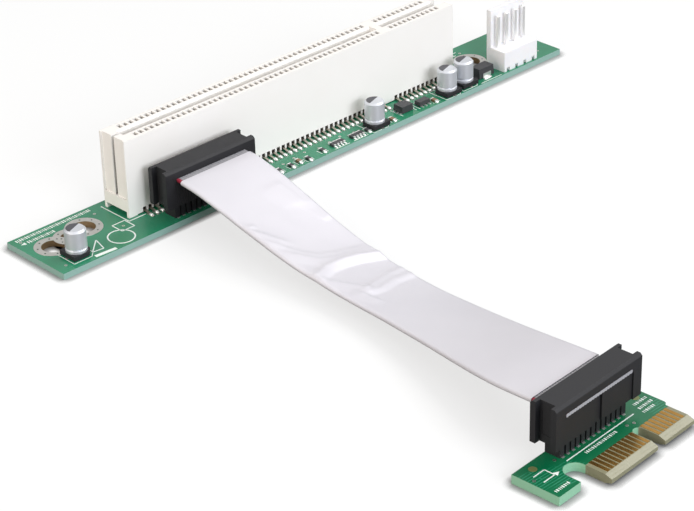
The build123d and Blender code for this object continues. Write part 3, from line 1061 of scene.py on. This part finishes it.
@dataclass
class LongBoardLook:
    """Solder mask, plated lands and printed outlines of the long board.

    Places are measured from the board's front left corner. A stroke is its two ends and its width,
    and a row of dashes is its left end, its right end and its distance from the front.
    """

    places: Places
    holes: tuple[Point, ...] = ((4.9, 9.3), (9.0, 10.15), (13.1, 11.0), (112.7, 9.5))
    hole_radii: tuple[float, ...] = (2.2, 1.5, 2.2, 2.2)
    land_radii: tuple[float, ...] = (3.55, 2.9, 3.55, 3.55)
    land_gap: float = 0.02
    land_step: float = 0.004
    wall_radii: Pair = (-0.04, 0.01)
    stitch_count: int = 8
    stitch_radius: float = 0.17
    stitch_rise: float = 0.02
    plate_rise: float = 0.035
    ink_rise: float = 0.03
    thin_ink_rise: float = 0.024
    stroke: float = 0.22
    thin_stroke: float = 0.14
    round_mark: Point = (15.6, 3.3)
    round_radii: Pair = (2.35, 2.62)
    outlines: tuple[tuple[Point, ...], ...] = (
        ((8.4, 2.5), (10.7, 2.2), (11.6, 5.6)),
        ((16.95, 4.75), (19.85, 4.75), (19.85, 7.65), (16.95, 7.65)))
    strokes: tuple[tuple[Point, Point, float], ...] = (
        ((7.8, 0.95), (12.3, 0.62), 0.75), ((20.2, 14.9), (20.2, 6.75), 0.22),
        ((20.2, 6.75), (24.1, 6.75), 0.22), ((65.9, 0.45), (69.7, 0.45), 0.14),
        ((70.9, 0.45), (74.7, 0.45), 0.14), ((106.6, 0.35), (112.6, 0.35), 0.14))
    can_plan: tuple[Point, ...] = (
        (-2.5, -2.5), (1.4, -2.5), (2.5, -1.4), (2.5, 1.4), (1.4, 2.5), (-2.5, 2.5))
    can_spots: tuple[Point, ...] = ((6.0, 3.9), (78.5, 2.62), (98.8, 2.62), (104.0, 2.9))
    dash_rows: tuple[Triple, ...] = ((1.2, 18.0, 15.4), (2.6, 8.4, 13.75))
    dash_height: float = 0.85
    arrow: tuple[Point, ...] = ((1.1, 13.75), (2.1, 13.3), (2.1, 14.2))
    chip_line: Pair = (0.78, 0.8)
    package_margin: Pair = (0.4, 0.5)
    corner_rows: tuple[int, ...] = (5, 4, 3)
    corner_start: Point = (107.0, 14.6)
    corner_step: Pair = (1.5, -1.1)
    corner_stagger: float = 0.4
    corner_dash: Pair = (0.9, 0.16)
    via_row_start: Point = (48.6, 3.5)
    via_row_pitch: float = 3.1
    via_row_sway: Pair = (0.4, 2.1)
    via_row_count: int = 9
    via_block_start: Point = (108.5, 12.2)
    via_block_step: Pair = (1.9, 1.5)
    via_block_columns: int = 4
    via_block_count: int = 8
    loose_vias: tuple[Point, ...] = (
        (2.2, 2.2), (1.6, 14.6), (17.6, 13.6), (125.6, 12.0), (127.3, 6.2), (126.2, 2.8), (18.4, 6.2))

    def build(self, tin: Material, ink: Material) -> None:
        """Dresses the board and adds what is plated or printed on it.

        Args:
            tin: Finish of the plated lands.
            ink: Finish of the print.
        """
        mask = SolderMask("green_solder_mask", "20744F", "2A8665", roughness=0.22, ior=1.52,
                          grain_size=0.8, grain_depth=0.006, blotch_size=9.0, roughness_spread=0.05)
        dress("pci_board", mask.build(), BOARD_SMOOTH_ANGLE)
        top = self.places.long_board()
        self.build_lands(top, tin)
        self.build_legend(top, ink)
        self.build_vias(top, tin)

    def build_lands(self, top: Matrix, tin: Material) -> None:
        """Adds plated rings round the fixing holes on both faces, the hole walls and stitching holes.

        Args:
            top: Place of the board's corner.
            tin: Finish of the rings.
        """
        low, high = box_of("pci_board")
        thickness = high.z - low.z
        lands = Shell("fixing_lands", top)
        dots = Shell("stitching_holes", top)
        for side in BoardSide:
            is_top = side is BoardSide.TOP
            base = 0.0 if is_top else -thickness - self.plate_rise / 2
            face = self.plate_rise if is_top else -thickness
            for number, spot in enumerate(self.holes):
                radius, outer = self.hole_radii[number], self.land_radii[number]
                step = self.land_step * number if is_top else 0.0
                lands.ring(spot, (radius + self.land_gap, outer), base, face + step)
                if is_top:
                    self.add_stitches(dots, spot, (radius + outer) / 2, face)
                else:
                    wall = (radius + self.wall_radii[0], radius + self.wall_radii[1])
                    lands.ring(spot, wall, base, 0, finish=1)
        lands.build([tin, PLATED_WALL.build()], "tinned")
        # The stitching holes are flat dark discs: painted shade where the holes are not cut
        dots.build([VIA_HOLE_SHADE.build()], "chip_dark")

    def add_stitches(self, dots: Shell, centre: Point, reach: float, level: float) -> None:
        """Adds the small plated holes round one land, drawn as discs of painted shade.

        Args:
            dots: The piece that collects them.
            centre: Centre of the land.
            reach: Radius of their circle.
            level: Height of the land's face.
        """
        for n in range(self.stitch_count):
            angle = 2 * math.pi * (n + 0.5) / self.stitch_count
            spot = (centre[0] + reach * math.cos(angle), centre[1] + reach * math.sin(angle))
            dots.disc(spot, self.stitch_radius, level, level + self.stitch_rise, count=10)

    def build_legend(self, top: Matrix, ink: Material) -> None:
        """Prints plain outlines round the small parts, marks and rows of dashes.

        Args:
            top: Place of the board's corner.
            ink: Finish of the print.
        """
        legend = Shell("board_legend", top)
        rise = self.ink_rise
        legend.ring(self.round_mark, self.round_radii, 0, rise)
        for outline in self.outlines:
            legend.loop(outline, self.stroke, rise)
        for start, end, width in self.strokes:
            legend.bar(start, end, width, 0, rise)
        for x, y in self.can_spots:
            plan = tuple((x + a, y + b) for a, b in self.can_plan)
            legend.loop(plan, self.thin_stroke, self.thin_ink_rise)
        for left, right, back in self.dash_rows:
            print_dashes(legend, left, right, back, self.dash_height, rise)
        legend.prism(self.arrow, 0, rise)
        for x, y in ComponentLook.chips:
            self.add_side_lines(legend, (x - self.chip_line[0], x + self.chip_line[0]),
                                (y - self.chip_line[1], y + self.chip_line[1]))
        beside, beyond = self.package_margin
        for node in ("regulator_body", "amplifier_body"):
            low, high = (corner - top.translation for corner in box_of(node))
            self.add_side_lines(legend, (low.x - beside, high.x + beside),
                                (low.y - beyond, high.y + beyond))
        long, wide = self.corner_dash
        for row, dashes in enumerate(self.corner_rows):
            for n in range(dashes):
                x = self.corner_start[0] + self.corner_step[0] * n + self.corner_stagger * row
                y = self.corner_start[1] + self.corner_step[1] * row
                legend.bar((x, y), (x + long, y), wide, 0, rise)
        legend.build([ink], "white_plastic")

    def add_side_lines(self, legend: Shell, sides: Pair, ends: Pair) -> None:
        """Prints a thin line on the left and on the right of a small part.

        Args:
            legend: The piece that collects the print.
            sides: Where the two lines stand, from the left.
            ends: Where they start and end, from the front.
        """
        for x in sides:
            legend.bar((x, ends[0]), (x, ends[1]), self.thin_stroke, 0, self.thin_ink_rise)

    def build_vias(self, top: Matrix, tin: Material) -> None:
        """Adds small plated holes along the front strip and at the ends.

        Args:
            top: Place of the board's corner.
            tin: Finish of their rings.
        """
        vias = Shell("board_vias", top)
        left, front = self.via_row_start
        sway, wave = self.via_row_sway
        spots = [(left + self.via_row_pitch * n, front + sway * math.sin(wave * n))
                 for n in range(self.via_row_count)]
        for n in range(self.via_block_count):
            row, column = divmod(n, self.via_block_columns)
            spots.append((self.via_block_start[0] + self.via_block_step[0] * column,
                          self.via_block_start[1] + self.via_block_step[1] * row))
        for spot in spots + list(self.loose_vias):
            vias.ring(spot, VIA_RADII, 0, VIA_RISE, count=16)
        vias.build([tin], "tinned")


@dataclass
class EdgeBoardLook:
    """Solder mask, bare tongues and printed outlines of the small board, in that board's own frame."""

    places: Places
    mask_end: float = 4.95
    tongues_from: float = -0.5
    ink_rise: float = 0.03
    long_line: tuple[Point, Point] = ((-1.0, 7.75), (15.9, 7.75))
    long_stroke: float = 0.2
    bracket: tuple[Point, ...] = ((-7.6, 6.9), (-5.0, 6.9), (-5.0, 8.9), (-7.6, 8.9))
    bracket_stroke: float = 0.18
    arrow: tuple[Point, ...] = ((-4.9, 6.4), (-3.9, 6.9), (-4.9, 7.4))
    dash_rows: tuple[Triple, ...] = (
        (2.6, 10.4, 6.9), (17.9, 21.2, 9.2), (17.6, 20.9, 8.0), (-8.4, -5.2, 4.1), (17.3, 20.3, 6.9))
    dash_height: float = 0.55
    round_windows: tuple[Point, ...] = ((-6.0, 10.3), (19.8, 10.3))
    window_radius: float = 0.7
    vias: tuple[Point, ...] = ((-8.3, 8.2), (-2.0, 9.3), (12.6, 6.6), (13.9, 6.2))

    def build(self, tin: Material, ink: Material) -> None:
        """Dresses the board and its fingers and adds what is printed on it.

        Args:
            tin: Finish of the plated holes.
            ink: Finish of the print.
        """
        place = self.places.edge_board()
        back = place.to_3x3() @ Vector((0, 1, 0))
        right = place.to_3x3() @ Vector((1, 0, 0))
        mask = SolderMask("green_solder_mask_bare_tongue", "03603A", "086A44", roughness=0.26, ior=1.52,
                          grain_size=0.8, grain_depth=0.006, blotch_size=9.0, roughness_spread=0.05,
                          edge_colour="8DBFA0", bare_from=back.dot(place.translation) + self.mask_end,
                          bare_right_of=right.dot(place.translation) + self.tongues_from,
                          bare_along=tuple(back), bare_across=tuple(right))
        dress("edge_board", mask.build(), BOARD_SMOOTH_ANGLE)
        gold = GOLD.build()
        dress("edge_fingers_top", gold)
        dress("edge_fingers_bottom", gold)
        legend = Shell("edge_board_legend", place)
        legend.bar(*self.long_line, self.long_stroke, 0, self.ink_rise)
        for n, corner in enumerate(self.bracket[:-1]):
            legend.bar(corner, self.bracket[n + 1], self.bracket_stroke, 0, self.ink_rise)
        legend.prism(self.arrow, 0, self.ink_rise)
        for row in self.dash_rows:
            print_dashes(legend, *row, self.dash_height, self.ink_rise)
        legend.build([ink], "white_plastic")
        marks = Shell("edge_board_vias", place)
        for spot in self.round_windows:
            marks.disc(spot, self.window_radius, 0, VIA_RISE, finish=1)
        for spot in self.vias:
            marks.ring(spot, VIA_RADII, 0, VIA_RISE, count=16)
        marks.build([tin, FIDUCIAL.build()], "tinned")


@dataclass
class ConnectorLook:
    """The cable sockets and pin headers, and the solder beside the pins."""

    places: Places
    columns: int = 13
    pitch: float = 1.27
    joint_reach: Pair = (1.47, 1.78)
    joint_width: float = 0.6
    joint_rise: float = 0.05

    def build(self, tin: Material, solder: Material) -> None:
        """Dresses both connectors, with the ribbed panel of each socket towards the cable.

        Args:
            tin: Finish of the pins.
            solder: Finish of the joints.
        """
        black = BLACK_PBT.build()
        for letter, turn in (("a", 0.0), ("b", math.pi + math.radians(self.places.edge_turn))):
            across = (math.cos(turn), math.sin(turn), 0.0)
            facing = (math.sin(turn), -math.cos(turn), 0.0)
            middle = Vector(across).dot(centre_of(f"header_{letter}_base"))
            plain = replace(BLACK_PBT, name=f"black_ribbed_pbt_{letter}", soft_edge=0.0)
            ribbed = Ribbed(**asdict(plain), across=across, facing=facing, middle=middle)
            dress(f"socket_{letter}_body", ribbed.build())
            dress(f"socket_{letter}_cover", black)
            dress(f"header_{letter}_base", black)
            dress(f"header_{letter}_pins", tin)
        self.build_joints(solder)

    def build_joints(self, solder: Material) -> None:
        """Adds shallow solder beside the headers on the boards' tops; their undersides lie flat.

        Args:
            solder: Finish of the joints.
        """
        joints = Shell("pin_solder_rings")
        near, far = self.joint_reach
        for letter, board, turn in (("a", "pci_board", 0.0), ("b", "edge_board", self.places.edge_turn)):
            middle = centre_of(f"header_{letter}_base")
            level = box_of(board)[1].z
            heading = Matrix.Rotation(math.radians(turn), 4, "Z")
            joints.place = Matrix.Translation((middle.x, middle.y, level)) @ heading
            for n in range(self.columns):
                x = self.pitch * (n - (self.columns - 1) / 2)
                for side in (-1, 1):
                    joints.bar((x, side * near), (x, side * far), self.joint_width, 0, self.joint_rise)
        joints.build([solder], "tinned")


@dataclass
class ComponentLook:
    """The small parts along the front strip."""

    places: Places
    mark_rise: float = 0.012
    mark_radius: float = 1.62
    mark_chord: float = -0.12
    mark_steps: int = 20
    mark_turns: tuple[float, ...] = (112.0, 108.0, 108.0, 108.0)
    chips: tuple[Point, ...] = (
        (52.3, 1.4), (55.2, 1.3), (59.5, 1.1), (63.7, 1.7), (75.7, 1.7), (57.5, 1.7), (82.4, 1.6),
        (94.2, 1.6))
    chip_reach: float = 0.92
    chip_fillet: Triple = (0.42, 0.30, 0.30)
    arrays: tuple[Point, ...] = ((67.8, 1.9), (72.8, 1.7))
    array_pads: int = 4
    array_pitch: float = 0.8
    array_reach: float = 0.98
    array_fillet: Triple = (0.21, 0.42, 0.26)
    diode: Point = (109.6, 3.0)
    diode_half_depth: float = 1.3
    fold_half_width: float = 1.1
    fold_thickness: float = 0.16
    fold_levels: Pair = (0.1, 1.1)
    fold_reach: float = 0.42
    fold_fillet: Triple = (1.15, 0.35, 0.32)

    def build(self, tin: Material, solder: Material) -> None:
        """Dresses the small parts and adds their markings and solder.

        Args:
            tin: Finish of the capacitors' terminals.
            solder: Finish of the joints and of the wetted ends.
        """
        can = CAN.build()
        black = BLACK_PBT.build()
        epoxy = EPOXY.build()
        ceramic = CERAMIC.build()
        marks = Shell("can_markings")
        for number, turn in enumerate(self.mark_turns, start=1):
            dress(f"capacitor_{number}_can", can, CAN_SMOOTH_ANGLE)
            dress(f"capacitor_{number}_base", black)
            dress(f"capacitor_{number}_terminals", tin)
            self.add_mark(marks, f"capacitor_{number}_can", turn)
        marks.build([CAN_INK.build()], "chip_dark")
        for node in ("chip_resistor_bodies", "resistor_array_bodies", "regulator_body",
                     "amplifier_body", "diode_body"):
            dress(node, epoxy)
        dress("chip_capacitor_bodies", ceramic)
        for node in ("chip_resistor_caps", "chip_capacitor_caps", "resistor_array_pads",
                     "regulator_leads", "amplifier_leads", "diode_terminals"):
            dress(node, solder)
        self.build_fillets(solder)
        self.build_folds(solder)

    def build_fillets(self, solder: Material) -> None:
        """Adds solder at the ends of the chips and at the pads of the arrays.

        Args:
            solder: Finish of the joints.
        """
        joints = Shell("chip_solder_fillets", self.places.long_board())
        for x, y in self.chips:
            for side in (-1, 1):
                joints.dome((x, y + side * self.chip_reach, 0), self.chip_fillet[:2],
                            self.chip_fillet[2], count=10, bands=3)
        for x, y in self.arrays:
            for n in range(self.array_pads):
                at = x + self.array_pitch * (n - (self.array_pads - 1) / 2)
                for side in (-1, 1):
                    joints.dome((at, y + side * self.array_reach, 0), self.array_fillet[:2],
                                self.array_fillet[2], count=10, bands=3)
        joints.build([solder], "tinned", smooth=True)

    def build_folds(self, solder: Material) -> None:
        """Adds the diode's terminals, folded up its two long sides, and their solder.

        Args:
            solder: Finish of the wetted metal.
        """
        folds = Shell("diode_folded_terminals", self.places.long_board())
        x, y = self.diode
        half = self.fold_half_width
        for side in (-1, 1):
            inner = y + side * self.diode_half_depth
            near, far = sorted((inner, inner + side * self.fold_thickness))
            folds.prism([(x - half, near), (x + half, near), (x + half, far), (x - half, far)],
                        *self.fold_levels)
            folds.dome((x, inner + side * self.fold_reach, 0), self.fold_fillet[:2],
                       self.fold_fillet[2], bands=3)
        folds.build([solder], "tinned")

    def add_mark(self, marks: Shell, node: str, turn: float) -> None:
        """Adds the dark polarity segment on a can's top.

        Args:
            marks: The piece that collects the markings.
            node: The can's node.
            turn: Direction of the marked side, in degrees from +X.
        """
        middle = centre_of(node)
        top = box_of(node)[1].z
        heading = Matrix.Rotation(math.radians(turn), 4, "Z")
        marks.place = Matrix.Translation((middle.x, middle.y, top)) @ heading
        limit = math.acos(-self.mark_chord / self.mark_radius)
        angles = [-limit + 2 * limit * n / self.mark_steps for n in range(self.mark_steps + 1)]
        outline = [(self.mark_radius * math.cos(a), self.mark_radius * math.sin(a)) for a in angles]
        marks.prism(outline, 0, self.mark_rise)


@dataclass
class PowerLook:
    """The small power header."""

    housing: str = "power_header_housing"
    pins: str = "power_header_pins"

    def build(self) -> None:
        """Dresses the header and its pins."""
        dress(self.housing, WHITE_NYLON.build())
        dress(self.pins, BRIGHT_TIN.build())


@dataclass(frozen=True)
class Softbox:
    """A soft rectangular lamp aimed at the part.

    Its place is in millimetres, its size in metres and its power in watts.
    """

    name: str
    place: Triple
    size: Pair
    power: float
    colour: str

    def build(self) -> None:
        """Adds the lamp to the scene."""
        data = bpy.data.lights.new(self.name, "AREA")
        data.shape = "RECTANGLE"
        data.size, data.size_y = self.size
        data.energy = self.power
        data.color = linear(self.colour)[:3]
        spot = Vector(self.place) * MM
        aim = spot.to_track_quat("Z", "Y").to_matrix().to_4x4()
        new_object(self.name, data).matrix_world = Matrix.Translation(spot) @ aim


@dataclass
class Studio:
    """White floor, soft lamps and the camera at the photograph's angle.

    The clipping distances are in metres, and the focal length and the shift in the photograph's
    pixels. The sky is plain as light and runs from one strength to the other in reflections.
    """

    azimuth: float = 43.141
    elevation: float = 29.024
    roll: float = -1.636
    target: Triple = (-21.666, 19.413, 0.0)
    distance: float = 410.643
    focal_pixels: float = 2302.129
    shift_pixels: Pair = (2.416, -11.572)
    clip: Pair = (0.01, 20.0)
    sky_light: float = 0.42
    sky_heights: Pair = (0.1, 0.85)
    sky_reflected: Pair = (0.5, 1.0)
    floor_size: float = 6000.0
    floor_colour: str = "F4F5F5"
    floor_roughness: float = 0.3
    floor_white: float = 0.68
    # Reach and power of the painted contact shadow round the object on the floor
    painted_contact_shadow_reach: float = 1.7
    painted_contact_shadow_power: float = 5.0
    lamps: tuple[Softbox, ...] = (
        Softbox("front_softbox", (-60, -640, 300), (0.45, 0.30), 3.9, "F6F9FF"),
        Softbox("overhead_softbox", (387, -110, 554), (0.50, 0.50), 2.8, "FFFEFC"),
        Softbox("left_fill", (-560, 60, 240), (0.30, 0.30), 1.7, "FFF3E6"))

    def build(self) -> None:
        """Makes the camera, the world, the floor and the lamps."""
        self.build_camera()
        self.build_world()
        self.build_floor()
        for lamp in self.lamps:
            lamp.build()

    def build_camera(self) -> None:
        """Places the camera by the solved view."""
        azimuth, elevation, roll = map(math.radians, (self.azimuth, self.elevation, self.roll))
        level = math.cos(elevation)
        ahead = Vector((math.sin(azimuth) * level, math.cos(azimuth) * level, -math.sin(elevation)))
        right = Vector((math.cos(azimuth), -math.sin(azimuth), 0))
        up = right.cross(ahead)
        across = right * math.cos(roll) + up * math.sin(roll)
        above = up * math.cos(roll) - right * math.sin(roll)
        data = bpy.data.cameras.new("camera")
        data.sensor_fit = "HORIZONTAL"
        data.sensor_width = SENSOR_WIDTH
        data.lens = self.focal_pixels / IMAGE_WIDTH * SENSOR_WIDTH
        data.shift_x = -self.shift_pixels[0] / IMAGE_WIDTH
        data.shift_y = self.shift_pixels[1] / IMAGE_WIDTH
        data.clip_start, data.clip_end = self.clip
        place = Matrix((across, above, -ahead)).transposed().to_4x4()
        place.translation = (Vector(self.target) - ahead * self.distance) * MM
        camera = new_object("camera", data)
        camera.matrix_world = place
        bpy.context.scene.camera = camera

    def build_world(self) -> None:
        """Makes white surroundings: full white for the camera, softer as light, graded in reflections."""
        world = bpy.data.worlds.new("studio_world")
        tree = cleared_tree(world)
        path = add_node(tree, "ShaderNodeLightPath")
        towards = add_node(tree, "ShaderNodeTexCoord")
        parts = add_node(tree, "ShaderNodeSeparateXYZ", {}, {"Vector": towards.outputs["Generated"]})
        height = add_node(tree, "ShaderNodeMapRange", {}, {
            "Value": parts.outputs["Z"], "From Min": self.sky_heights[0],
            "From Max": self.sky_heights[1], "To Min": self.sky_reflected[0],
            "To Max": self.sky_reflected[1]})
        glossy = add_node(tree, "ShaderNodeMapRange", {}, {
            "Value": path.outputs["Is Glossy Ray"], "To Min": self.sky_light,
            "To Max": height.outputs["Result"]})
        strength = add_node(tree, "ShaderNodeMath", {"operation": "MAXIMUM"}, {
            0: glossy.outputs["Result"], 1: path.outputs["Is Camera Ray"]})
        light = add_node(tree, "ShaderNodeBackground", {}, {
            "Color": WHITE, "Strength": strength.outputs["Value"]})
        add_node(tree, "ShaderNodeOutputWorld", {}, {"Surface": light.outputs["Background"]})
        bpy.context.scene.world = world

    def build_floor(self) -> None:
        """Makes a glossy white table that keeps the object's soft shadow."""
        half = self.floor_size / 2 * MM
        corners = [(-half, -half, 0), (half, -half, 0), (half, half, 0), (-half, half, 0)]
        mesh = bpy.data.meshes.new("studio_floor")
        mesh.from_pydata(corners, [], [(0, 1, 2, 3)])
        mesh.materials.append(self.floor_material())
        new_object("studio_floor", mesh)

    def floor_material(self) -> Material:
        """Polished white acrylic: pure white to the camera, save in shadow, with a painted contact shadow
        close to the object.

        Returns:
            The floor's material.
        """
        material = bpy.data.materials.new("white_acrylic_table")
        tree = cleared_tree(material)
        surface = add_node(tree, "ShaderNodeBsdfPrincipled", {}, {
            "Base Color": linear(self.floor_colour), "Roughness": self.floor_roughness})
        path = add_node(tree, "ShaderNodeLightPath")
        # Painted contact shadow: the camera's white is darkened where the floor sees little open sky
        # close to the object
        near = add_node(tree, "ShaderNodeAmbientOcclusion", {"samples": 8}, {
            "Distance": self.painted_contact_shadow_reach * MM})
        painted_contact = add_node(tree, "ShaderNodeMath", {"operation": "POWER"}, {
            0: near.outputs["AO"], 1: self.painted_contact_shadow_power})
        shown = add_node(tree, "ShaderNodeMath", {"operation": "MULTIPLY"}, {
            0: painted_contact.outputs["Value"], 1: path.outputs["Is Camera Ray"]})
        lift = add_node(tree, "ShaderNodeEmission", {}, {
            "Color": WHITE, "Strength": shown.outputs["Value"]})
        mixed = add_node(tree, "ShaderNodeMixShader", {}, {
            0: self.floor_white, 1: surface.outputs["BSDF"], 2: lift.outputs["Emission"]})
        add_node(tree, "ShaderNodeOutputMaterial", {}, {"Surface": mixed.outputs["Shader"]})
        return material


def main() -> None:
    """Builds the looks of the adapter round its frame, and the studio."""
    logging.basicConfig(level=logging.INFO)
    bpy.context.scene.view_settings.view_transform = "Standard"
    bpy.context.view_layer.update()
    places = Places()
    tin = TIN.build()
    solder = SOLDER.build()
    ink = INK.build()
    LongBoardLook(places).build(tin, ink)
    EdgeBoardLook(places).build(tin, ink)
    SlotLook(places).build(tin, solder)
    ConnectorLook(places).build(tin, solder)
    cable = Cable(places)
    cable.build_ribbon()
    cable.build_foil()
    ComponentLook(places).build(tin, solder)
    PowerLook().build()
    Studio().build()


if __name__ == "__main__":
    main()
